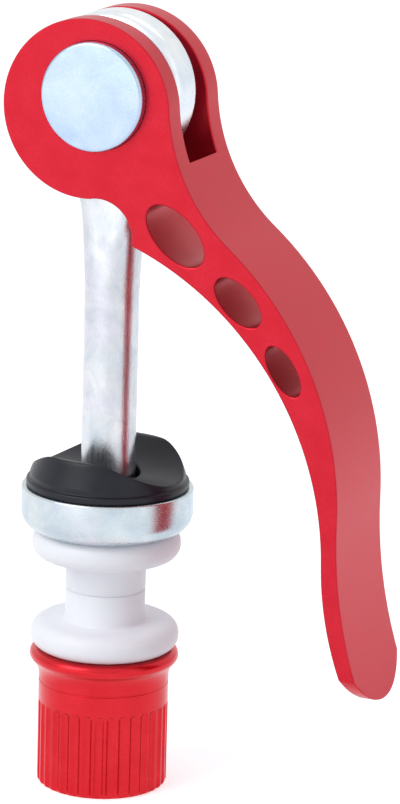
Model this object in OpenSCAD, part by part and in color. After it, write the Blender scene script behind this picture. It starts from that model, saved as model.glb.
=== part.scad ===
// Quick-release seatpost clamp: a forked cam lever on an eye bolt, with a cam saddle in a
// steel cup, two flanged bushes and a fluted thumb nut, standing on its nut.
// The skewer axis is +Z and the pin axis runs along Y. The origin is on the skewer axis
// where the two bushes' tubes meet, the middle of the clamp that the skewer closes.
// The lever's arm reaches towards +X.

/* [Skewer bolt] */
// Diameter of the round rod (M6)
rod_d = 6; // [5:0.1:7]
// Distance from the rod's lower end to the pin axis
skewer_l = 77.1; // [70:0.1:90]
// Height of the rod's lower end above the nut's bottom face
rod_inset = 1.3; // [0:0.1:3]
// Length of the threaded end
thread_l = 30; // [20:1:40]
// Root diameter of the thread
thread_root_d = 5.2; // [4.4:0.1:5.8]
// Diameter of the eye around the pin
eye_d = 17.2; // [15.5:0.1:18.5]
// Thickness of the flattened eye
eye_t = 4.8; // [4:0.1:5.6]
// Radius of the eye's rounded rim
eye_round = 1.2; // [0.4:0.1:1.8]
// Width of the swaged neck below the eye
neck_w = 7.5; // [6.6:0.1:7.8]

/* [Cross pin] */
// Diameter of the pin
pin_d = 11.8; // [10:0.1:12.6]
// Radius of the pin's end edges
pin_round = 0.4; // [0.1:0.1:1]
// Radial running clearance of the lever on the pin
pin_play = 0.05; // [0.02:0.01:0.1]

/* [Lever] */
// Width of the lever, which is the pin's length too
lever_w = 13.6; // [12:0.1:16]
// Width of the fork's slot
slot_w = 7.4; // [7:0.1:8.4]
// Play between the eye and the front cheek, which lies against it
cheek_play = 0.1; // [0.05:0.05:0.4]
// Diameter of the cam
cam_d = 19.4; // [18.6:0.1:21]
// Throw of the cam, from the pin axis to the cam's centre
cam_throw = 1.9; // [1:0.1:2.2]
// Direction of the cam's centre from the pin, at rest
cam_dir = -126; // [-140:1:-110]
// Distance from the pin axis to the slot's end wall
slot_depth = 11.9; // [11.6:0.1:12]
// Direction that the slot's end wall faces away from
slot_dir = -37; // [-40:1:-34]
// Radius of the notch that clears the rod
notch_r = 4.1; // [3.8:0.1:4.4]
// Direction of the notch from the cam's centre
notch_dir = -83.3; // [-85:0.1:-81]
// Distance from the pin axis down to the lever's tip
tip_drop = 64; // [60:0.1:66]
// Radius of the tip, seen from the side of the arm
tip_r = 8.5; // [7.5:0.5:14]

/* [Lever arm, outer edge] */
// Place on the cam, in degrees, where the outer edge leaves it
outer_start = 3.9; // [0:0.1:8]
// Radius of the hollow behind the head
outer_r1 = 19.8; // [18:0.1:22]
// Angle turned in the hollow
outer_a1 = 46.8; // [44:0.1:49]
// Radius of the elbow
outer_r2 = 36.4; // [34:0.1:39]
// Angle turned in the elbow
outer_a2 = 51.4; // [49:0.1:54]
// Radius of the flare towards the tip
outer_r3 = 52; // [45:1:70]

/* [Lever arm, inner edge] */
// Where the inner edge starts, to the right of the pin
inner_x = 4.5; // [4.3:0.1:5]
// Where the inner edge starts, below the pin
inner_drop = 15.8; // [15.4:0.1:16.4]
// Slope of the inner edge at its start, below level
inner_slope = 20.5; // [18:0.5:23]
// Radius of the inner edge's long bend
inner_r1 = 35.3; // [33:0.1:37]
// Angle turned in the long bend
inner_a1 = 68.2; // [66:0.1:70]
// Radius of the inner edge's flare
inner_r2 = 36.5; // [34:0.5:45]
// Angle turned in both flares, trimmed by the tip
flare_a = 26; // [24:0.5:32]

/* [Lever holes] */
// Length of the hole nearest the head
hole1_l = 8.1; // [6:0.1:8.3]
// Width of the hole nearest the head
hole1_w = 4.5; // [3:0.1:5]
// Where the hole nearest the head lies, to the right of the pin
hole1_x = 9.6; // [9.5:0.1:10]
// Where the hole nearest the head lies, below the pin
hole1_drop = 14.2; // [14.1:0.05:14.5]
// Length of the middle hole
hole2_l = 6.5; // [5:0.1:7.5]
// Width of the middle hole
hole2_w = 3.5; // [2.4:0.1:3.9]
// Where the middle hole lies, to the right of the pin
hole2_x = 17; // [16.6:0.1:17.4]
// Where the middle hole lies, below the pin
hole2_drop = 20.6; // [20.3:0.1:20.9]
// Length of the last hole
hole3_l = 6; // [4:0.1:7]
// Width of the last hole
hole3_w = 2.8; // [1.6:0.1:3.1]
// Where the last hole lies, to the right of the pin
hole3_x = 22.4; // [22.1:0.1:22.7]
// Where the last hole lies, below the pin
hole3_drop = 27.45; // [27.15:0.05:27.75]

/* [Cam saddle] */
// Diameter of the saddle above its ledge
saddle_d = 17.2; // [16:0.1:17.8]
// Diameter of the ledge that lies on the cup's rim
ledge_d = 18; // [17.4:0.1:18.6]
// Thickness of the ledge
ledge_t = 0.8; // [0.5:0.1:1]
// Height of the horns above the cup's rim
horn_h = 4.2; // [3.8:0.1:5.5]
// Depth of the trough below the horns
trough_depth = 2.8; // [2:0.1:2.9]
// Radial play between the cam and the trough
cam_play = 0.05; // [0:0.05:0.3]
// Width of the slope round the horns' tops
horn_slope_w = 1; // [0.5:0.1:1.6]
// Height of the slope round the horns' tops
horn_slope_h = 2.8; // [1:0.1:2.8]
// Turn of the saddle about the rod, as it lies
saddle_turn = 82; // [0:1:90]
// Bore of the saddle
saddle_bore = 7; // [6.4:0.1:7.4]
// Radial play of the saddle in the cup
saddle_play = 0.2; // [0.1:0.05:0.4]

/* [Cup washer] */
// Outer diameter of the cup
cup_d = 19; // [18.6:0.1:20]
// Height of the cup
cup_h = 4.9; // [4:0.1:6]
// Wall of the cup
cup_wall = 1; // [0.6:0.1:1.2]
// Floor of the cup
cup_floor = 1.2; // [0.8:0.1:1.6]
// Outer radius of the cup's lower corner
cup_round = 2.1; // [1.3:0.1:2.2]
// Hole in the cup's floor
cup_bore = 6.8; // [6.4:0.1:7.2]

/* [Bushes] */
// Diameter of a bush's flange
flange_d = 16.5; // [14.5:0.1:17.5]
// Thickness of a bush's flange
flange_t = 3.2; // [3:0.1:3.6]
// Radius of the flange's rounded rim
flange_round = 1.5; // [0.6:0.1:1.5]
// Diameter of a bush's tube
tube_d = 8.9; // [8.2:0.1:10]
// Length of a bush's tube
tube_l = 3.65; // [2.5:0.05:6]
// Chamfer of the tube's end
tube_chamfer = 0.3; // [0.25:0.05:0.4]
// Bore of a bush
bush_bore = 6.4; // [6.2:0.1:6.8]

/* [Thumb nut] */
// Height of the nut
nut_h = 15.7; // [12:0.1:20]
// Diameter of the nut's grip
grip_d = 14.5; // [13:0.1:15]
// Diameter of the nut's rim
rim_d = 16.6; // [15.8:0.1:17.4]
// Radius of the bead round the rim
bead_r = 0.8; // [0.5:0.1:0.9]
// Height from the rim's bead down to the grip
rim_drop = 2.4; // [1.8:0.1:2.8]
// Number of flutes
flute_count = 34; // [24:1:40]
// Width of a flute
flute_w = 1; // [0.7:0.05:1.1]
// Depth of a flute
flute_depth = 0.3; // [0.15:0.05:0.4]
// Height of the fluted part
flute_h = 9.6; // [6:0.1:10.5]
// Chamfer of the nut's lower edge
nut_chamfer = 0.35; // [0.1:0.05:0.8]
// Radial clearance of the nut round the thread's crests
thread_play = 0.05; // [0.02:0.01:0.1]

/* [Hidden] */
$fn = 96;
// Turn between two points of a drawn arc
arc_step = 2.5;
// Reach of a cutter past the face that it leaves
over = 1;

rod_r = rod_d / 2;
pin_r = pin_d / 2;
cam_r = cam_d / 2;
eye_r = eye_d / 2;
flange_z = flange_t + tube_l;
nut_z = -flange_z - nut_h;
rod_z = nut_z + rod_inset;
pin_z = rod_z + skewer_l;
// The front cheek lies against the eye, so the lever's middle is behind the rod's.
lever_y = (slot_w - eye_t) / 2 - cheek_play;
cup_z = flange_z;
rim_z = cup_z + cup_h;
horn_z = rim_z + horn_h;
cam_c = cam_throw * [cos(cam_dir), sin(cam_dir)];
// The notch bites this far into the cam, so their edges cross.
notch_bite = 0.05;
notch_c = cam_c + (cam_r + notch_r - notch_bite) * [cos(notch_dir), sin(notch_dir)];
// The pin frame's far side, past every edge of the head
head_reach = cam_r + 2 * cam_throw + over;

// Point at angle t round an arc of signed radius r that starts at p with heading h
function arc_point(p, h, r, t) =
    p + r * [sin(h + t) - sin(h), cos(h) - cos(h + t)];
// Points along an arc that turns by a, without its first point
function arc_points(p, h, r, a) =
    let (n = ceil(abs(a) / arc_step)) [for (i = [1:n]) arc_point(p, h, r, a * i / n)];
// Points of an ellipse of length l and width w
function ellipse_points(l, w) =
    [for (t = [0:7.5:359]) [l / 2 * cos(t), w / 2 * sin(t)]];

// Lays a flat outline in the lever's plane, w wide about the plane y
module slab(w, y = 0) {
    translate([0, y, pin_z]) rotate([90, 0, 0])
        linear_extrude(height = w, center = true) children();
}

// A disc of radius r and height h about Z, both rims rounded by c, as a half section
module rounded_section(r, h, c) {
    square([r - c, h]);
    translate([0, c]) square([r, h - 2 * c]);
    for (z = [c, h - c]) translate([r - c, z]) circle(c);
}

// The rod, its swaged neck and the flattened eye are one forging.
module skewer_bolt() {
    color("lightsteelblue") difference() {
        union() {
            eye();
            neck();
            rod();
        }
        translate([0, 0, pin_z]) rotate([90, 0, 0])
            cylinder(r = pin_r, h = eye_t + 2 * over, center = true);
    }
}

module eye() {
    translate([0, eye_t / 2, pin_z]) rotate([90, 0, 0])
        rotate_extrude() rounded_section(eye_r, eye_t, eye_round);
}

// Width of the neck where the rod ends inside it, clear of the turning cam
neck_top = cam_r + cam_throw + 0.7;
neck_bottom = neck_top + 10;

module neck() {
    shoulder = 4;
    shoulder_r = sqrt(eye_r * eye_r - shoulder * shoulder);
    intersection() {
        translate([0, 0, pin_z]) rotate_extrude() polygon([
            [0, -neck_bottom], [rod_r, -neck_bottom], [neck_w / 2, -neck_top - 3.5],
            [neck_w / 2, -neck_top], [shoulder_r, -shoulder], [0, -shoulder]
        ]);
        translate([-eye_r, -eye_t / 2, pin_z - neck_bottom - over])
            cube([2 * eye_r, eye_t, neck_bottom + over]);
    }
}

module rod() {
    taper = 1.2;
    top = pin_z - neck_top;
    thread_lead = 0.5;
    translate([0, 0, rod_z]) rotate_extrude() polygon([
        [0, 0], [thread_root_d / 2 - thread_lead, 0], [thread_root_d / 2, thread_lead],
        [thread_root_d / 2, thread_l], [rod_r, thread_l + thread_lead],
        [rod_r, top - taper - rod_z], [eye_t / 2, top - rod_z], [0, top - rod_z]
    ]);
}

module cross_pin() {
    color("lightblue") translate([0, lever_w / 2, pin_z]) rotate([90, 0, 0])
        rotate_extrude() rounded_section(pin_r, lever_w, pin_round);
}

// Outline of the arm in the pin frame: down the outer edge, back up the inner one
module arm_outline() {
    start = cam_c + (cam_r - 0.02) * [cos(outer_start), sin(outer_start)];
    h0 = outer_start - 90;
    outer1 = arc_points(start, h0, outer_r1, outer_a1);
    h1 = h0 + outer_a1;
    outer2 = arc_points(outer1[len(outer1) - 1], h1, -outer_r2, -outer_a2);
    h2 = h1 - outer_a2;
    outer3 = arc_points(outer2[len(outer2) - 1], h2, outer_r3, flare_a);
    inner_start = [inner_x, -inner_drop];
    inner1 = arc_points(inner_start, -inner_slope, -inner_r1, -inner_a1);
    h3 = -inner_slope - inner_a1;
    inner2 = arc_points(inner1[len(inner1) - 1], h3, inner_r2, flare_a);
    inner = concat([inner_start], inner1, inner2);
    root = cam_c + (cam_r + notch_r / 2) * [cos(notch_dir), sin(notch_dir)];
    polygon(concat([cam_c, start], outer1, outer2, outer3,
                   [for (i = [len(inner) - 1:-1:0]) inner[i]], [root]));
}

// The three holes step down the arm, each with its own size, place and slant
module lever_holes() {
    holes = [
        [hole1_l, hole1_w, [hole1_x, -hole1_drop], -41.8],
        [hole2_l, hole2_w, [hole2_x, -hole2_drop], -41.9],
        [hole3_l, hole3_w, [hole3_x, -hole3_drop], -55.7]
    ];
    for (h = holes) translate(h[2]) rotate(h[3]) polygon(ellipse_points(h[0], h[1]));
}

// Everything on the pin's side of the slot's end wall
module slot_outline() {
    rotate(slot_dir) translate([-head_reach, -2 * head_reach])
        square([head_reach + slot_depth, 4 * head_reach]);
}

module lever() {
    tip_c = pin_z - tip_drop + tip_r;
    far = 60;
    color("crimson") difference() {
        union() {
            slab(lever_w, lever_y) translate(cam_c) circle(cam_r);
            slab(lever_w, lever_y) arm_outline();
        }
        slab(slot_w, lever_y) slot_outline();
        slab(lever_w + 2 * over, lever_y) {
            circle(pin_r + pin_play);
            translate(notch_c) circle(notch_r);
            lever_holes();
        }
        translate([0, lever_y, tip_c]) difference() {
            translate([0, -lever_w, -2 * tip_r]) cube([far, 2 * lever_w, 2 * tip_r]);
            translate([-over, 0, 0]) rotate([0, 90, 0]) cylinder(r = tip_r, h = far + 2 * over);
        }
    }
}

// A moulded washer: a round body with a trough across it for the cam
module cam_saddle() {
    seat_z = cup_z + cup_floor;
    spigot_r = cup_d / 2 - cup_wall - saddle_play;
    spigot_chamfer = max(cup_round - cup_wall, 0.2);
    trough_r = cam_r + cam_play;
    color([0.13, 0.13, 0.15]) difference() {
        rotate_extrude() polygon([
            [saddle_bore / 2, seat_z], [spigot_r - spigot_chamfer, seat_z],
            [spigot_r, seat_z + spigot_chamfer], [spigot_r, rim_z], [ledge_d / 2, rim_z],
            [ledge_d / 2, rim_z + ledge_t], [saddle_d / 2, rim_z + ledge_t],
            [saddle_d / 2, horn_z - horn_slope_h], [saddle_d / 2 - horn_slope_w, horn_z],
            [saddle_bore / 2, horn_z]
        ]);
        translate([0, 0, horn_z - trough_depth + trough_r]) rotate([0, 0, saddle_turn])
            rotate([90, 0, 0]) cylinder(r = trough_r, h = 2 * saddle_d, center = true);
    }
}

module cup_washer() {
    inner_r = cup_d / 2 - cup_wall;
    inner_round = max(cup_round - cup_wall, 0.2);
    color("silver") translate([0, 0, cup_z]) rotate_extrude() difference() {
        union() {
            square([cup_d / 2 - cup_round, cup_h]);
            translate([0, cup_round]) square([cup_d / 2, cup_h - cup_round]);
            translate([cup_d / 2 - cup_round, cup_round]) circle(cup_round);
        }
        translate([0, cup_floor]) {
            square([inner_r - inner_round, cup_h]);
            translate([0, inner_round]) square([inner_r, cup_h]);
            translate([inner_r - inner_round, inner_round]) circle(inner_round);
        }
        translate([0, -over]) square([cup_bore / 2, cup_h + 2 * over]);
    }
}

// A flanged bush, its flange down on z = 0 and its tube upwards
module bush() {
    color("ghostwhite") rotate_extrude() difference() {
        union() {
            rounded_section(flange_d / 2, flange_t, flange_round);
            polygon([[0, flange_t / 2], [tube_d / 2, flange_t / 2],
                     [tube_d / 2, flange_z - tube_chamfer],
                     [tube_d / 2 - tube_chamfer, flange_z], [0, flange_z]]);
        }
        translate([0, -over]) square([bush_bore / 2, flange_t + tube_l + 2 * over]);
    }
}

module upper_bush() {
    translate([0, 0, flange_z]) mirror([0, 0, 1]) bush();
}

module lower_bush() {
    translate([0, 0, -flange_z]) bush();
}

// Half section of the nut without its bore: grip, hollow neck and beaded rim
module nut_section() {
    grip_r = grip_d / 2;
    bead_x = rim_d / 2 - bead_r;
    bead_z = nut_h - bead_r;
    neck_z = bead_z - rim_drop;
    out = bead_x - grip_r;
    hollow_r = (rim_drop * rim_drop + out * out - bead_r * bead_r) / (2 * (bead_r + out));
    hollow_c = [grip_r + hollow_r, neck_z];
    touch = [bead_x, bead_z] + (hollow_c - [bead_x, bead_z]) * bead_r / (bead_r + hollow_r);
    polygon([[0, 0], [grip_r - nut_chamfer, 0], [grip_r, nut_chamfer], [grip_r, neck_z],
             [0, neck_z]]);
    difference() {
        polygon([[0, neck_z], [grip_r, neck_z], touch, [bead_x, bead_z], [bead_x, nut_h],
                 [0, nut_h]]);
        translate(hollow_c) circle(hollow_r);
    }
    translate([bead_x, bead_z]) circle(bead_r);
}

module thumb_nut() {
    bore_r = rod_r + thread_play;
    mouth = 0.5;
    // A flute's radius from its width and depth
    flute_r = (flute_w * flute_w / 4 + flute_depth * flute_depth) / (2 * flute_depth);
    color("firebrick") translate([0, 0, nut_z]) difference() {
        rotate_extrude() nut_section();
        translate([0, 0, -over]) cylinder(r = bore_r, h = nut_h + 2 * over);
        translate([0, 0, -mouth]) cylinder(r1 = bore_r + 2 * mouth, r2 = bore_r, h = 2 * mouth);
        for (i = [0:flute_count - 1]) rotate(i * 360 / flute_count)
            translate([grip_d / 2 - flute_depth + flute_r, 0, -over])
                cylinder(r = flute_r, h = flute_h + over);
    }
}

skewer_bolt();
cross_pin();
lever();
cam_saddle();
cup_washer();
upper_bush();
lower_bush();
thumb_nut();
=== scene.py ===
# A quick-release seatpost clamp standing on its nut, dressed over its CAD frame.
# Lengths are in millimetres up to where MM turns them into metres, angles in degrees.
import math

import bmesh
import bpy
from mathutils import Matrix, Vector


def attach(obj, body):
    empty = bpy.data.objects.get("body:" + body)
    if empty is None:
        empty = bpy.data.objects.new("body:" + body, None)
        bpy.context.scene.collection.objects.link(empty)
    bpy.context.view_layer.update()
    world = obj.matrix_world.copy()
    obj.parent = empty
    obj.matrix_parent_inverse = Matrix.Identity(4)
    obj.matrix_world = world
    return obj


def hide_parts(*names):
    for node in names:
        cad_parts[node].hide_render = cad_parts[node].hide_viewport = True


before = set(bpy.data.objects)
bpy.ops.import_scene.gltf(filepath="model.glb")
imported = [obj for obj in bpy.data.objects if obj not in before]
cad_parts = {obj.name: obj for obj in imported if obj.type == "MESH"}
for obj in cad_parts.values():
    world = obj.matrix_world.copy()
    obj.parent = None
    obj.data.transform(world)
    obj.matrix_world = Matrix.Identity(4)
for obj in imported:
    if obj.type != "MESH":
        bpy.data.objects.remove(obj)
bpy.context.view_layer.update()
MM = 0.001

# Sizes that pieces share, the same as the CAD source's. The tubes of the bushes meet at Z = 0.
FLANGE_Z = 6.85                 # outer faces of the two bushes' flanges, up and down
NUT_H = 15.7
NUT_Z = -FLANGE_Z - NUT_H       # the face that the clamp stands on
ROD_Z = NUT_Z + 1.3             # the rod's lower end
PIN_Z = ROD_Z + 77.1            # the axis that the lever turns about
CUP_Z = FLANGE_Z
CUP_H = 4.9
CUP_FLOOR = 1.2
RIM_Z = CUP_Z + CUP_H
HORN_Z = RIM_Z + 4.2            # top of the saddle
LEVER_W = 13.6
LEVER_Y = 1.2                   # the lever's middle plane
PIN_R = 5.9
CAM_R = 9.7
ROD_R = 3.0
CORE_R = 2.55                   # the rod under its thread
ROD_CHAMFER = 0.45


def polar(r, deg):
    a = math.radians(deg)
    return Vector((r * math.cos(a), r * math.sin(a)))


# ---------------------------------------------------------------- camera
CAMERA_AT = (164.17, -369.62, 124.36)
CAMERA_YAW, CAMERA_PITCH, CAMERA_ROLL = 0.3935, 0.2494, 0.0284      # in radians
PHOTO_HEIGHT_PX = 804
FOCAL_PX = 3805.3
SENSOR_HEIGHT = 24


def place_camera():
    """The camera that was fitted to the photograph."""
    cy, sy = math.cos(CAMERA_YAW), math.sin(CAMERA_YAW)
    cp, sp = math.cos(CAMERA_PITCH), math.sin(CAMERA_PITCH)
    cr, sr = math.cos(CAMERA_ROLL), math.sin(CAMERA_ROLL)
    back = Vector((sy * cp, -cy * cp, sp))
    level_right = Vector((cy, sy, 0))
    level_up = back.cross(level_right)
    right = cr * level_right + sr * level_up
    up = -sr * level_right + cr * level_up
    data = bpy.data.cameras.new("camera")
    data.sensor_fit = "VERTICAL"
    data.sensor_height = SENSOR_HEIGHT
    data.lens = FOCAL_PX * SENSOR_HEIGHT / PHOTO_HEIGHT_PX
    data.clip_start = 0.01
    data.clip_end = 20
    cam = bpy.data.objects.new("camera", data)
    pose = Matrix((right, up, back)).transposed().to_4x4()
    pose.translation = Vector(CAMERA_AT) * MM
    cam.matrix_world = pose
    bpy.context.scene.collection.objects.link(cam)
    bpy.context.scene.camera = cam


place_camera()


# ---------------------------------------------------------------- meshes
def arc(cx, cz, r, a0, a1, n):
    """Points of n steps round a centre, from angle a0 to a1."""
    return [(cx + r * math.cos(math.radians(a0 + (a1 - a0) * i / n)),
             cz + r * math.sin(math.radians(a0 + (a1 - a0) * i / n))) for i in range(n + 1)]


def vert(bm, x, y, z):
    return bm.verts.new((x * MM, y * MM, z * MM))


def ring(bm, sides, point):
    """Vertices of a closed ring. point gives the place at each angle, in radians."""
    return [vert(bm, *point(2 * math.pi * i / sides)) for i in range(sides)]


def skin(bm, rings, closed=False):
    """Faces from ring to ring. If closed the last one meets the first, or else both are capped.

    A ring of one vertex is a pole.
    """
    for a, b in zip(rings, rings[1:] + (rings[:1] if closed else [])):
        count = max(len(a), len(b))
        if count == 1:
            continue
        for i in range(count):
            j = (i + 1) % count
            corners = (a[i % len(a)], a[j % len(a)], b[j % len(b)], b[i % len(b)])
            bm.faces.new(list(dict.fromkeys(corners)))
    if not closed:
        bm.faces.new(rings[0][::-1])
        bm.faces.new(rings[-1])
    bmesh.ops.recalc_face_normals(bm, faces=bm.faces)
    return bm


def lathe(section, sides):
    """A closed section of (radius, height) points turned about Z."""
    bm = bmesh.new()
    rings = []
    for r, z in section:
        if r == 0:
            rings.append([vert(bm, 0, 0, z)])
        else:
            rings.append(ring(bm, sides, lambda a: (r * math.cos(a), r * math.sin(a), z)))
    return skin(bm, rings, closed=True)


def slab(near, far):
    """A solid between two like outlines of (x, y, z) points."""
    bm = bmesh.new()
    lo = [vert(bm, *p) for p in near]
    hi = [vert(bm, *p) for p in far]
    bm.faces.new(lo)
    bm.faces.new(hi[::-1])
    for i in range(len(lo)):
        j = (i + 1) % len(lo)
        bm.faces.new((lo[i], hi[i], hi[j], lo[j]))
    bmesh.ops.recalc_face_normals(bm, faces=bm.faces)
    return bm


def prism(points, width):
    """An outline of (x, z) points from the pin's axis, as wide about the lever's middle plane."""
    return slab(*([(x, LEVER_Y + side * width / 2, z + PIN_Z) for x, z in points]
                  for side in (-1, 1)))


def laid_across(bm):
    """A piece turned about Z, laid along Y at the pin's height."""
    matrix = Matrix.Translation((0, 0, PIN_Z * MM)) @ Matrix.Rotation(math.pi / 2, 4, "X")
    bmesh.ops.transform(bm, matrix=matrix, verts=bm.verts)
    return bm


def as_object(name, bm):
    mesh = bpy.data.meshes.new(name)
    bm.to_mesh(mesh)
    bm.free()
    obj = bpy.data.objects.new(name, mesh)
    bpy.context.scene.collection.objects.link(obj)
    return obj


def apply_modifiers(obj):
    """Replaces the object's mesh by what its modifiers make of it."""
    deps = bpy.context.evaluated_depsgraph_get()
    deps.update()
    mesh = bpy.data.meshes.new_from_object(obj.evaluated_get(deps))
    old = obj.data
    obj.modifiers.clear()
    obj.data = mesh
    bpy.data.meshes.remove(old)


def combine(obj, cutter_bm, operation):
    """A Boolean of the object with a cutter that is used up."""
    cutter = as_object("cutter", cutter_bm)
    mod = obj.modifiers.new("bool", "BOOLEAN")
    mod.operation = operation
    mod.solver = "EXACT"
    mod.object = cutter
    apply_modifiers(obj)
    mesh = cutter.data
    bpy.data.objects.remove(cutter)
    bpy.data.meshes.remove(mesh)


def break_edges(obj, width, segments, over, weld=0.004):
    """Rounds the edges that turn by more than an angle, once stray short edges are welded."""
    bm = bmesh.new()
    bm.from_mesh(obj.data)
    bmesh.ops.remove_doubles(bm, verts=bm.verts, dist=weld * MM)
    bmesh.ops.dissolve_degenerate(bm, dist=weld * MM, edges=bm.edges)
    bm.to_mesh(obj.data)
    bm.free()
    mod = obj.modifiers.new("bevel", "BEVEL")
    mod.limit_method = "ANGLE"
    mod.angle_limit = math.radians(over)
    mod.width = width * MM
    mod.segments = segments
    mod.use_clamp_overlap = False
    mod.miter_outer = "MITER_ARC"
    apply_modifiers(obj)


def weigh_normals(obj):
    """Lets big flat faces keep their own normals, so that they shade flat up to the bevels."""
    mod = obj.modifiers.new("normals", "WEIGHTED_NORMAL")
    mod.keep_sharp = True
    mod.weight = 90
    apply_modifiers(obj)


def piece(obj, body, material, node=None, sharp=28, flat=False):
    """Shades a finished piece, sharp where it turns by more than an angle, gives it its material,
    hangs it on its body and hides the CAD node that it replaces.
    """
    obj.data.shade_smooth()
    obj.data.set_sharp_from_angle(angle=math.radians(sharp))
    if flat:
        weigh_normals(obj)
    obj.data.materials.clear()
    obj.data.materials.append(material)
    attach(obj, body)
    if node:
        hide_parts(node)


# ---------------------------------------------------------------- materials
class Nodes:
    """A material's node tree with object coordinates in millimetres."""

    def __init__(self, name):
        self.mat = bpy.data.materials.new(name)
        self.mat.use_nodes = True
        self.tree = self.mat.node_tree
        self.bsdf = self.tree.nodes["Principled BSDF"]
        coord = self.tree.nodes.new("ShaderNodeTexCoord")
        scale = self.tree.nodes.new("ShaderNodeVectorMath")
        scale.operation = "SCALE"
        scale.inputs["Scale"].default_value = 1 / MM
        self.link(coord.outputs["Object"], scale.inputs[0])
        self.mm = scale.outputs[0]

    def link(self, a, b):
        self.tree.links.new(a, b)

    def feed(self, value, socket):
        """Links an output to a socket, or sets a constant on it."""
        if hasattr(value, "links"):
            self.link(value, socket)
        else:
            socket.default_value = value

    def set(self, **values):
        """Sets or links inputs of the shader, named with _ for a space."""
        for key, value in values.items():
            self.feed(value, self.bsdf.inputs[key.replace("_", " ")])

    def stretch(self, x, y, z):
        n = self.tree.nodes.new("ShaderNodeMapping")
        n.inputs["Scale"].default_value = (x, y, z)
        self.link(self.mm, n.inputs["Vector"])
        return n.outputs[0]

    def noise(self, scale, detail, rough, vector=None, distortion=0.0):
        n = self.tree.nodes.new("ShaderNodeTexNoise")
        n.inputs["Scale"].default_value = scale
        n.inputs["Detail"].default_value = detail
        n.inputs["Roughness"].default_value = rough
        n.inputs["Distortion"].default_value = distortion
        self.link(vector or self.mm, n.inputs["Vector"])
        return n.outputs["Fac"]

    def ramp(self, fac, *stops):
        """A ramp of (position, colour) stops."""
        n = self.tree.nodes.new("ShaderNodeValToRGB")
        el = n.color_ramp.elements
        while len(el) < len(stops):
            el.new(0.5)
        for e, (pos, col) in zip(el, stops):
            e.position = pos
            e.color = (*col, 1)
        self.link(fac, n.inputs["Fac"])
        return n.outputs["Color"]

    def mix(self, fac, a, b, blend="MIX"):
        n = self.tree.nodes.new("ShaderNodeMix")
        n.data_type = "RGBA"
        n.blend_type = blend
        for value, socket in ((fac, n.inputs[0]), (a, n.inputs[6]), (b, n.inputs[7])):
            self.feed(value, socket)
        return n.outputs[2]

    def spread(self, pattern, width, least):
        """A value from least, where the pattern is 0, to least + width, where it is 1."""
        n = self.tree.nodes.new("ShaderNodeMath")
        n.operation = "MULTIPLY_ADD"
        for value, socket in zip((pattern, width, least), n.inputs):
            self.feed(value, socket)
        return n.outputs[0]

    def bump(self, height, strength, microns, normal=None):
        n = self.tree.nodes.new("ShaderNodeBump")
        n.inputs["Strength"].default_value = strength
        n.inputs["Distance"].default_value = microns * 1e-6
        self.link(height, n.inputs["Height"])
        if normal:
            self.link(normal, n.inputs["Normal"])
        return n.outputs["Normal"]


# The dye's darkest, middle and lightest red at tone 1
DYE = ((0.59, 0.010, 0.025), (0.68, 0.012, 0.031), (0.75, 0.021, 0.045))
BLACK, WHITE = (0, 0, 0), (1, 1, 1)


def red_anodised(name, tone, coat, blue=1.0, turned=False):
    """Dyed, sealed aluminium: blasted and satin on the lever, turned on the nut."""
    t = Nodes(name)
    cloud = t.noise(0.35, 3, 0.5)
    grain = t.noise(9, 3, 0.6)
    deep, mid, light = (Vector((r, g, b * blue)) * tone for r, g, b in DYE)
    base = t.ramp(cloud, (0.3, mid), (0.7, light))
    specks = t.ramp(grain, (0.42, BLACK), (0.75, WHITE))
    if turned:
        lines = t.noise(1.0, 2, 0.6, t.stretch(0.05, 0.05, 14))
        rough, normal = t.spread(lines, 0.20, 0.15), t.bump(lines, 0.22, microns=40)
    else:
        rough, normal = t.spread(cloud, 0.12, 0.32), t.bump(grain, 0.25, microns=20)
    t.set(Base_Color=t.mix(specks, base, (*deep, 1)), Metallic=0.84, IOR=1.5, Roughness=rough,
          Normal=normal, Coat_Weight=coat, Coat_Roughness=0.22)
    return t.mat


def zinc(name, low, mid, high, along=(1, 1, 1), worn=1.0):
    """Bluish bright zinc plating: cloudy, a little iridescent, finely scratched where worn."""
    t = Nodes(name)
    cloud = t.noise(0.28, 5, 0.6, distortion=0.6)
    tint = t.noise(0.16, 2, 0.5)
    base = t.ramp(cloud, (0.25, low), (0.5, mid), (0.78, high))
    sheen = t.ramp(tint, (0.3, (0.86, 0.95, 1.0)), (0.5, (1.0, 1.0, 0.97)),
                   (0.7, (0.97, 0.94, 1.0)))
    streak = t.noise(2.4, 5, 0.62, t.stretch(*along))
    pits = t.bump(t.noise(3.2, 6, 0.7), 0.3 * worn, microns=50)
    t.set(Base_Color=t.mix(0.8, base, sheen, "MULTIPLY"), Metallic=1.0,
          Roughness=t.spread(streak, 0.22 * worn, 0.27 - 0.11 * worn),
          Normal=t.bump(streak, 0.35 * worn, microns=50, normal=pits))
    return t.mat


def plastic(name, dark, light, rough, shine, grain, strength, subsurface=0.0):
    """Moulded plastic, a little uneven in colour and finely grained."""
    t = Nodes(name)
    if subsurface:
        t.set(Subsurface_Weight=subsurface, Subsurface_Scale=0.002,
              Subsurface_Radius=(1.0, 0.8, 0.9))
    cloud = t.noise(0.5, 3, 0.5)
    fine = t.noise(grain, 4, 0.6)
    t.set(Base_Color=t.ramp(cloud, (0.3, dark), (0.7, light)), IOR=1.5,
          Roughness=t.spread(fine, 0.15, rough), Specular_IOR_Level=shine,
          Normal=t.bump(fine, strength, microns=30))
    return t.mat


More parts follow.
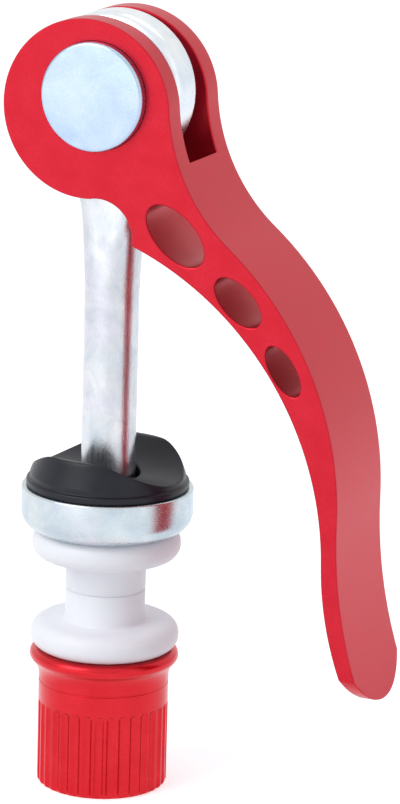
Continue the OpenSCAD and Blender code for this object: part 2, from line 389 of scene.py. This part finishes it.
red_lever = red_anodised("red_anodised_lever", 0.81, coat=0.08)
red_nut = red_anodised("red_anodised_nut", 0.93, coat=0.12, blue=0.75, turned=True)
zinc_rod = zinc("zinc_rod", (0.48, 0.51, 0.56), (0.61, 0.63, 0.67), (0.77, 0.78, 0.80),
                along=(1, 1, 0.08))
zinc_pin = zinc("zinc_pin", (0.41, 0.51, 0.69), (0.46, 0.57, 0.73), (0.53, 0.63, 0.76),
                worn=0.35)
# The eye is one bolt with the rod and neck, but its zinc is lighter: part plating colour, part
# painted highlight for its brightly lit rim
zinc_eye_painted_highlight = zinc("zinc_eye_painted_highlight", (0.68, 0.71, 0.78), (0.79, 0.82, 0.87), (0.90, 0.93, 0.96),
                worn=0.5)
zinc_cup = zinc("zinc_cup", (0.46, 0.53, 0.60), (0.56, 0.62, 0.66), (0.68, 0.72, 0.74),
                along=(0.5, 0.5, 2.5), worn=0.6)
black = plastic("black_plastic", (0.009, 0.010, 0.016), (0.016, 0.017, 0.025), 0.27,
                shine=0.28, grain=6.0, strength=0.2)
nylon = plastic("white_nylon", (0.91, 0.925, 0.985), (0.945, 0.955, 1.0), 0.34,
                shine=0.5, grain=4.0, strength=0.1, subsurface=0.25)


# ---------------------------------------------------------------- lever
# Places are (x, z) from the pin's axis
CAM_AT = polar(1.9, -126)
CAM_LEFT_AT = 3.9               # angle round the cam at which the outer edge leaves it
NOTCH_R = 4.1
NOTCH_ANGLE = -83.3             # of the notch's centre, seen from the cam's
NOTCH_BITE = 0.05               # how far the notch cuts into the cam
CUSP = (4.5, -15.8)             # where the notch meets the inner edge
# Heading, signed radius and turn of each arc, from the head to past the tip
OUTER_ARCS = ((-86.1, 19.8, 46.8), (-39.3, -36.4, -51.4), (-90.7, 52, 26))
INNER_ARCS = ((-20.5, -35.3, -68.2), (-88.7, 36.5, 26))
ARC_STEP = 2.0
SLOT_W = 7.4
SLOT_DEPTH = 11.9
SLOT_ANGLE = -37                # the direction in which the slot is deep
TIP_R = 8.5                     # the tip's round end, seen along X
TIP_DROP = 64.0                 # from the pin's axis to the end
HOLE_SIDES = 56
# Length, width, centre and angle of each hole
HOLES = ((8.1, 4.5, (9.6, -14.2), -41.8), (6.5, 3.5, (17, -20.6), -41.9),
         (6.0, 2.8, (22.4, -27.45), -55.7))
EDGE = 0.2                      # how far the lever's edges are broken
BORE_CLEARANCE = 0.05
NOTCH_STEPS, CAM_STEPS, BORE_SIDES = 22, 120, 120
CLEAR = 30                      # enough for a cutter to pass right through
LEVER_X = (-20, 60)             # a span of X that holds the whole lever


def edge_points(start, arcs):
    """Points of an edge that is made of tangent arcs."""
    points = [Vector(start)]
    for heading, r, turn in arcs:
        p = points[-1]
        h0 = math.radians(heading)
        n = max(2, math.ceil(abs(turn) / ARC_STEP))
        for i in range(1, n + 1):
            h = math.radians(heading + turn * i / n)
            points.append(Vector((p.x + r * (math.sin(h) - math.sin(h0)),
                                  p.y + r * (math.cos(h0) - math.cos(h)))))
    return points


def sweep(centre, r, a0, a1, n):
    """Points round a centre from angle a0 to a1, without the first."""
    return [centre + polar(r, a0 + (a1 - a0) * i / n) for i in range(1, n + 1)]


def direction(a, b):
    return math.degrees(math.atan2(b.y - a.y, b.x - a.x))


def lever_outline():
    outer = edge_points(CAM_AT + polar(CAM_R, CAM_LEFT_AT), OUTER_ARCS)
    inner = edge_points(CUSP, INNER_ARCS)
    # Notch, from the cusp round to where its circle crosses the cam's
    notch_at = CAM_AT + polar(CAM_R + NOTCH_R - NOTCH_BITE, NOTCH_ANGLE)
    apart = (notch_at - CAM_AT).length
    along = (apart * apart + CAM_R ** 2 - NOTCH_R ** 2) / (2 * apart)
    meet_angle = NOTCH_ANGLE - math.degrees(math.acos(along / CAM_R))
    meet = CAM_AT + polar(CAM_R, meet_angle)
    notch = sweep(notch_at, NOTCH_R, direction(notch_at, inner[0]), direction(notch_at, meet),
                  NOTCH_STEPS)
    # Cam, clockwise the long way back to the start
    cam = sweep(CAM_AT, CAM_R, meet_angle, CAM_LEFT_AT - 360, CAM_STEPS)[:-1]
    return outer + inner[::-1] + notch + cam


def slot_cutter():
    deep, across = polar(1, SLOT_ANGLE), polar(1, SLOT_ANGLE + 90)
    return prism([deep * SLOT_DEPTH + across * CLEAR, deep * -CLEAR + across * CLEAR,
                  deep * -CLEAR - across * CLEAR, deep * SLOT_DEPTH - across * CLEAR], SLOT_W)


def tip_form():
    """What the lever keeps: all that is above the tip's round end."""
    z = PIN_Z - TIP_DROP + TIP_R
    top = z + 3 * CLEAR
    outline = [(LEVER_Y - TIP_R, top)] + arc(LEVER_Y, z, TIP_R, 180, 360, 60)
    outline += [(LEVER_Y + TIP_R, top)]
    return slab(*([(x, y, z) for y, z in outline] for x in LEVER_X))


def hole_cutter(length, width, centre, angle):
    """An oval hole's cutter, flared at both ends to break the hole's rims."""
    flare = [(EDGE * (1 - math.cos(math.radians(a))), EDGE * (math.sin(math.radians(a)) - 1))
             for a in (0, 22.5, 45, 67.5, 88)] + [(EDGE, 1)]
    levels = [(grow, -LEVER_W / 2 - out) for grow, out in reversed(flare)]
    levels += [(grow, LEVER_W / 2 + out) for grow, out in flare]
    ax, ay = polar(1, angle), polar(1, angle + 90)
    bm = bmesh.new()
    rings = []
    for grow, y in levels:
        def point(u):
            c, s = math.cos(u), math.sin(u)
            out = Vector((c / length, s / width)).normalized() * grow
            p = Vector(centre) + ax * (length / 2 * c + out.x) + ay * (width / 2 * s + out.y)
            return p.x, LEVER_Y + y, p.y + PIN_Z
        rings.append(ring(bm, HOLE_SIDES, point))
    return skin(bm, rings)


def make_lever():
    obj = as_object("cam_lever", prism(lever_outline(), LEVER_W))
    combine(obj, slot_cutter(), "DIFFERENCE")
    combine(obj, tip_form(), "INTERSECT")
    break_edges(obj, EDGE, segments=3, over=32)
    # The holes are cut after the outline's edges are broken, so that no cut line crosses a bevel
    for hole in HOLES:
        combine(obj, hole_cutter(*hole), "DIFFERENCE")
    bore = [polar(PIN_R + BORE_CLEARANCE, 360 * (i + 0.5) / BORE_SIDES)
            for i in range(BORE_SIDES)]
    combine(obj, prism(bore, CLEAR), "DIFFERENCE")
    piece(obj, "lever", red_lever, "lever", flat=True)


# ---------------------------------------------------------------- bolt and pin
EYE_R, EYE_T, EYE_ROUND = 8.6, 4.8, 1.2
EYE_INNER_R = 4                 # a ring that divides the eye's flat sides
PIN_ROUND = 0.4
# The neck: height from the pin's axis, half width, half thickness, and how square it is there
NECK = ((-22.3, 2.995, 2.995, 2.0), (-20.5, 3.03, 2.97, 2.1), (-18.5, 3.09, 2.9, 2.3),
        (-16.5, 3.14, 2.78, 2.7), (-14.5, 3.2, 2.62, 3.2), (-12.8, 3.33, 2.5, 4.0),
        (-11.2, 3.72, 2.42, 5.0), (-9.5, 4.7, 2.39, 6.0), (-7.6, 6.0, 2.385, 7.0),
        (-5.8, 6.95, 2.38, 8.0), (-4.0, 7.45, 2.38, 8.0))
NECK_STEPS = 4                  # rings to a station
NECK_EASINGS = 3
NECK_SIDES = 96
NECK_DROP = 21                  # from the pin's axis to the top of the round rod
THREAD_H = 30                   # of the thinner part that the thread is on
ROD_STEP = 0.5                  # height of the cone from there to the full rod
ROD_RINGS = (20, 27)            # heights of rings that divide the rod's long side
THREAD_TURNS = 29
THREAD_SIDES = 40               # steps to a turn
ROOT_R, CREST_R, CREST_RISE = 2.52, 2.58, 0.40
ROOT_DZ, CREST_DZ = 0.44, 0.07  # half the width of a ridge at its root and its crest


def round_plate(r, height, corner, steps, flat_from=()):
    """A disc's section about its middle, with round corners and more points on the flats."""
    low, high = -height / 2, height / 2
    return ([(0, low)] + [(x, low) for x in flat_from]
            + arc(r - corner, low + corner, corner, -90, 0, steps)
            + arc(r - corner, high - corner, corner, 0, 90, steps)
            + [(x, high) for x in flat_from] + [(0, high)])


def make_eye():
    """The flattened eye: a round plate with rolled rims."""
    section = round_plate(EYE_R, EYE_T, EYE_ROUND, 10, flat_from=(EYE_INNER_R,))
    piece(as_object("bolt_eye", laid_across(lathe(section, sides=160))), "skewer",
          zinc_eye_painted_highlight, "skewer_bolt")


def make_neck():
    """The swage from the round rod to the flat eye: rings that grow wide and thin."""
    fine = [[u + (v - u) * k / NECK_STEPS for u, v in zip(a, b)]
            for a, b in zip(NECK, NECK[1:]) for k in range(NECK_STEPS)]
    fine.append(list(NECK[-1]))
    # Ease the values along the neck, so that its sides have no corners
    for _ in range(NECK_EASINGS):
        eased = [[(p + 2 * q + r) / 4 for p, q, r in zip(*three)]
                 for three in zip(fine, fine[1:], fine[2:])]
        fine = [fine[0]] + eased + [fine[-1]]
    bm = bmesh.new()
    rings = []
    for z, half_width, half_thick, square in fine:
        def point(a):
            c, s = math.cos(a), math.sin(a)
            return (half_width * math.copysign(abs(c) ** (2 / square), c),
                    half_thick * math.copysign(abs(s) ** (2 / square), s), z + PIN_Z)
        rings.append(ring(bm, NECK_SIDES, point))
    piece(as_object("bolt_neck", skin(bm, rings)), "skewer", zinc_rod,
          "skewer_bolt")


def make_rod():
    top = ROD_Z + THREAD_H
    end = PIN_Z - NECK_DROP
    section = [(0, ROD_Z), (CORE_R - ROD_CHAMFER, ROD_Z), (CORE_R, ROD_Z + ROD_CHAMFER),
               (CORE_R, top), (ROD_R, top + ROD_STEP)]
    section += [(ROD_R, z) for z in ROD_RINGS] + [(ROD_R, end), (0, end)]
    piece(as_object("bolt_rod", lathe(section, sides=128)), "skewer", zinc_rod,
          "skewer_bolt")


def make_thread():
    """Right-hand ridges of the M6 thread, one turn a millimetre, that fade in and out."""
    bm = bmesh.new()
    rings = []
    count = THREAD_SIDES * THREAD_TURNS
    for i in range(count + 1):
        a = 2 * math.pi * i / THREAD_SIDES
        z = ROD_Z + ROD_CHAMFER + i / THREAD_SIDES
        crest = CREST_R + CREST_RISE * min(1, i / THREAD_SIDES, (count - i) / THREAD_SIDES)
        profile = ((ROOT_R, -ROOT_DZ), (crest, -CREST_DZ), (crest, CREST_DZ), (ROOT_R, ROOT_DZ))
        rings.append([vert(bm, r * math.cos(a), r * math.sin(a), z + dz) for r, dz in profile])
    piece(as_object("rod_thread", skin(bm, rings)), "skewer", zinc_rod)


def make_pin():
    section = round_plate(PIN_R, LEVER_W, PIN_ROUND, 6)
    piece(as_object("barrel_pin", laid_across(lathe(section, sides=160))), "skewer",
          zinc_pin, "cross_pin")


# ---------------------------------------------------------------- saddle, cup and bushes
TROUGH_R = CAM_R + 0.05
TROUGH_DEPTH = 2.8
TROUGH_ANGLE = 82               # the direction across the trough, from X
SLOPE = 2.8                     # fall of the top for each millimetre beyond SLOPE_R
SLOPE_R = 7.6
HORN_ROUND, TROUGH_ROUND = 0.35, 0.3
SADDLE_BORE = 3.5
BORE_ROUND = 0.25
FOOT_R = 7.2                    # where the saddle stands in the cup
SKIRT_R = 8.3                   # inside the cup's wall
BEAD_OUT_R = 8.85               # over the cup's rim
SADDLE_R = 8.6                  # the wall above the bead
SADDLE_SIDES = 288


def soft_min(a, b, k):
    """The smaller of two heights, their crossing rounded over k."""
    h = max(k - abs(a - b), 0) / k
    return min(a, b) - h * h * k / 4


def saddle_top(x, y):
    """Height of the saddle's top: flat horns, the slope round them and the trough."""
    r = math.hypot(x, y)
    across = math.radians(TROUGH_ANGLE)
    side = abs(x * math.cos(across) + y * math.sin(across))
    trough = (HORN_Z - TROUGH_DEPTH + TROUGH_R
              - math.sqrt(max(TROUGH_R ** 2 - side ** 2, 0)))
    slope = HORN_Z - SLOPE * (r - SLOPE_R)
    z = soft_min(soft_min(HORN_Z, slope, HORN_ROUND), trough, TROUGH_ROUND)
    near_bore = max(0, BORE_ROUND - (r - SADDLE_BORE))
    return z - (BORE_ROUND - math.sqrt(max(BORE_ROUND ** 2 - near_bore ** 2, 0)))


def make_saddle():
    seat = CUP_Z + CUP_FLOOR
    outside = [(SADDLE_BORE, seat), (FOOT_R, seat), (SKIRT_R, seat + 1.1), (SKIRT_R, RIM_Z),
               (BEAD_OUT_R, RIM_Z)]
    # The bead, the groove over it and the wall above them
    outside += arc(8.8, RIM_Z + 0.2, 0.2, -70, 0, 4) + arc(8.8, RIM_Z + 0.6, 0.2, 0, 80, 5)
    outside += arc(8.75, RIM_Z + 0.95, 0.15, 260, 180, 4) + [(SADDLE_R, RIM_Z + 1.2)]
    # Rings over the top, closest where it curves most
    radii = [SADDLE_R] + [SADDLE_R - 0.05 * i for i in range(1, 33)]
    radii += [7.0 - 0.2 * i for i in range(1, 16)]
    radii += [3.85, 3.75, 3.68, 3.62, 3.57, 3.53, SADDLE_BORE]
    bm = bmesh.new()
    rings = []
    for r, z in outside + [(r, None) for r in radii]:
        def point(a):
            x, y = r * math.cos(a), r * math.sin(a)
            return x, y, saddle_top(x, y) if z is None else z
        rings.append(ring(bm, SADDLE_SIDES, point))
    piece(as_object("saddle", skin(bm, rings, closed=True)), "saddle", black,
          "cam_saddle", sharp=40)


def make_cup():
    r, wall, bore = 9.5, 1.0, 3.4
    fillet, corner, lip = 0.9, 2.1, 0.22
    section = [(bore, 0), (bore, CUP_FLOOR)]
    section += arc(r - wall - fillet, CUP_FLOOR + fillet, fillet, -90, 0, 8)
    section += arc(r - wall + lip, CUP_H - lip, lip, 180, 90, 4)
    section += arc(r - lip, CUP_H - lip, lip, 90, 0, 4)
    section += arc(r - corner, corner, corner, 0, -90, 12)
    piece(as_object("cup", lathe([(x, z + CUP_Z) for x, z in section], sides=192)), "cup",
          zinc_cup, "cup_washer")


def make_bush(name, body, node, up):
    """A nylon bush. The section has the flange's outer face at 0 and the tube above it."""
    flange_r, flange_t, corner = 8.25, 3.2, 1.5
    tube_r, tube_l, bore = 4.45, 3.65, 3.2
    edge, fillet = 0.2, 0.3
    end = flange_t + tube_l - edge
    section = [(bore, edge)] + arc(bore + edge, edge, edge, 180, 270, 3)
    section += arc(flange_r - corner, corner, corner, -90, 0, 12)
    section += arc(flange_r - corner, flange_t - corner, corner, 0, 90, 12)
    section += arc(tube_r + fillet, flange_t + fillet, fillet, 270, 180, 5)
    section += arc(tube_r - edge, end, edge, 0, 90, 4) + arc(bore + edge, end, edge, 90, 180, 3)
    sign = -1 if up else 1
    placed = [(x, sign * (z - FLANGE_Z)) for x, z in section]
    piece(as_object(name, lathe(placed, sides=160)), body, nylon, node)


# ---------------------------------------------------------------- thumb nut
GRIP_R = 7.25                   # the fluted grip
BEAD_R, BEAD_X, BEAD_Z = 0.8, 7.5, 14.9     # the rolled rim and its centre
WAIST_DROP = 2.4                # from the rim's centre to the top of the grip
FLUTES = 34
FLUTE_R, FLUTE_DEPTH, FLUTE_HALF = 0.567, 0.3, 0.5
FLUTE_TOP = 9.6
FLUTE_RUN_OUT = 0.5
STEPS_PER_FLUTE = 18
NUT_BORE, NUT_BORE_TOP = 3.05, 3.4
GROOVE_DEPTH = 0.06             # of the turned line above the flutes
INSIDE_R = 6                    # smaller radii are the nut's inside, which has no flutes


def nut_section():
    """The nut's section, down the outside from the top face and up the bore."""
    waist_z = BEAD_Z - WAIST_DROP
    out = BEAD_X - GRIP_R
    # The waist's hollow touches the grip's side and the bead
    hollow = (WAIST_DROP ** 2 + out ** 2 - BEAD_R ** 2) / (2 * (BEAD_R + out))
    hollow_at = Vector((GRIP_R + hollow, waist_z))
    touch = math.degrees(math.atan2(BEAD_Z - waist_z, BEAD_X - hollow_at.x))
    groove = GRIP_R - GROOVE_DEPTH
    section = [(NUT_BORE_TOP, NUT_H), (BEAD_X - 0.4, NUT_H)]
    section += arc(BEAD_X, BEAD_Z, BEAD_R, 90, touch - 180, 16)
    section += arc(*hollow_at, hollow, touch, 180, 10)
    section += [(GRIP_R, waist_z - 0.45), (groove, waist_z - 0.5), (groove, waist_z - 0.62),
                (GRIP_R, waist_z - 0.67)]
    section += [(GRIP_R, FLUTE_TOP + dz) for dz in (0.25, 0.1, 0, -0.12, -0.3, -0.5)]
    section += [(GRIP_R, z) for z in (7, 4, 2, 0.6, 0.35)]
    section += [(GRIP_R - 0.12, 0.12), (GRIP_R - 0.35, 0), (3.7, 0), (3.25, 0.45),
                (NUT_BORE, 0.6), (NUT_BORE, NUT_H - 0.35)]
    return section


def fluted(r, z, step):
    """The radius at a height and step round the nut, where a flute may cut into it."""
    on_grip = z < FLUTE_TOP + 0.05 and r > INSIDE_R
    # Distance across the nearest flute, and how deep it is at this height
    x = ((step / STEPS_PER_FLUTE) % 1 - 0.5) * 2 * math.pi * GRIP_R / FLUTES
    run = min(1, max(0, (FLUTE_TOP - z) / FLUTE_RUN_OUT)) ** 0.5
    if not on_grip or abs(x) >= FLUTE_HALF:
        return r
    cut = math.sqrt(FLUTE_R ** 2 - x * x) - (FLUTE_R - FLUTE_DEPTH)
    return min(r, GRIP_R - max(0, cut) * run)


def make_nut():
    bm = bmesh.new()
    rings = []
    steps = FLUTES * STEPS_PER_FLUTE
    for r, z in nut_section():
        verts = []
        for i in range(steps):
            a, rr = 2 * math.pi * i / steps, fluted(r, z, i)
            verts.append(vert(bm, rr * math.cos(a), rr * math.sin(a), z + NUT_Z))
        rings.append(verts)
    piece(as_object("fluted_nut", skin(bm, rings, closed=True)), "thumb_nut",
          red_nut, "thumb_nut", sharp=26)


make_lever()
make_eye()
make_neck()
make_rod()
make_thread()
make_pin()
make_saddle()
make_cup()
make_bush("bush_upper", "upper_bush", "upper_bush", up=True)
make_bush("bush_lower", "lower_bush", "lower_bush", up=False)
make_nut()


# ---------------------------------------------------------------- floor and light
FLOOR_REACH = 4                 # metres from the middle to the floor's sides
FLOOR_COLOUR = (0.82, 0.82, 0.83, 1)
FLOOR_GLOW = 0.57               # what the lit floor lacks to white
SKY_COLOUR, SKY_STRENGTH = (0.93, 0.95, 1.0, 1), 0.57
LAMP_AIM = (0, 0, 0.03)
# Name, place and size in metres, power in watts and colour
LAMPS = (("key", (-0.35, -0.55, 0.55), (0.45, 0.45), 2.6, (1, 1, 1)),
         ("front", (-0.22, -0.6, 0.1), (0.6, 0.22), 0.3, (1, 1, 1)),
         ("fill", (0.65, -0.35, 0.25), (0.4, 0.5), 0.16, (0.88, 0.9, 1.0)),
         ("top", (0.1, 0.25, 0.75), (0.5, 0.5), 0.5, (1, 1, 1)))


def seen_directly(tree):
    """1 for rays that show the background itself: from the camera, in metal or through glass."""
    path = tree.nodes.new("ShaderNodeLightPath")
    value = path.outputs["Is Camera Ray"]
    for name in ("Is Glossy Ray", "Is Transmission Ray"):
        either = tree.nodes.new("ShaderNodeMath")
        either.operation = "MAXIMUM"
        tree.links.new(value, either.inputs[0])
        tree.links.new(path.outputs[name], either.inputs[1])
        value = either.outputs[0]
    return value


def make_floor():
    """A pale floor that shows as white around the clamp's shadow."""
    bm = bmesh.new()
    bmesh.ops.create_grid(bm, x_segments=1, y_segments=1, size=FLOOR_REACH)
    bmesh.ops.transform(bm, matrix=Matrix.Translation((0, 0, NUT_Z * MM)), verts=bm.verts)
    obj = as_object("floor", bm)
    mat = bpy.data.materials.new("floor")
    mat.use_nodes = True
    tree = mat.node_tree
    bsdf = tree.nodes["Principled BSDF"]
    bsdf.inputs["Base Color"].default_value = FLOOR_COLOUR
    bsdf.inputs["Roughness"].default_value = 0.9
    bsdf.inputs["Specular IOR Level"].default_value = 0.1
    bsdf.inputs["Emission Color"].default_value = (1, 1, 1, 1)
    glow = tree.nodes.new("ShaderNodeMath")
    glow.operation = "MULTIPLY"
    glow.inputs[1].default_value = FLOOR_GLOW
    tree.links.new(seen_directly(tree), glow.inputs[0])
    tree.links.new(glow.outputs[0], bsdf.inputs["Emission Strength"])
    obj.data.materials.append(mat)


def make_world():
    """A soft sky that lights the clamp, and plain white for the rays that show it."""
    world = bpy.data.worlds.new("world")
    bpy.context.scene.world = world
    world.use_nodes = True
    tree = world.node_tree
    soft = tree.nodes["Background"]
    soft.inputs["Color"].default_value = SKY_COLOUR
    soft.inputs["Strength"].default_value = SKY_STRENGTH
    white = tree.nodes.new("ShaderNodeBackground")
    white.inputs["Color"].default_value = (1, 1, 1, 1)
    white.inputs["Strength"].default_value = 1.0
    mix = tree.nodes.new("ShaderNodeMixShader")
    tree.links.new(seen_directly(tree), mix.inputs[0])
    tree.links.new(soft.outputs[0], mix.inputs[1])
    tree.links.new(white.outputs[0], mix.inputs[2])
    tree.links.new(mix.outputs[0], tree.nodes["World Output"].inputs["Surface"])


def lamp(name, where, size, power, colour):
    """A soft box, which shows in reflections but not to the camera."""
    data = bpy.data.lights.new(name, "AREA")
    data.shape = "RECTANGLE"
    data.size, data.size_y = size
    data.energy = power
    data.color = colour
    obj = bpy.data.objects.new(name, data)
    obj.location = where
    obj.visible_camera = False
    toward = Vector(LAMP_AIM) - Vector(where)
    obj.rotation_euler = toward.to_track_quat("-Z", "Y").to_euler()
    bpy.context.scene.collection.objects.link(obj)


make_floor()
make_world()
for row in LAMPS:
    lamp(*row)

bpy.context.scene.view_settings.view_transform = "Standard"
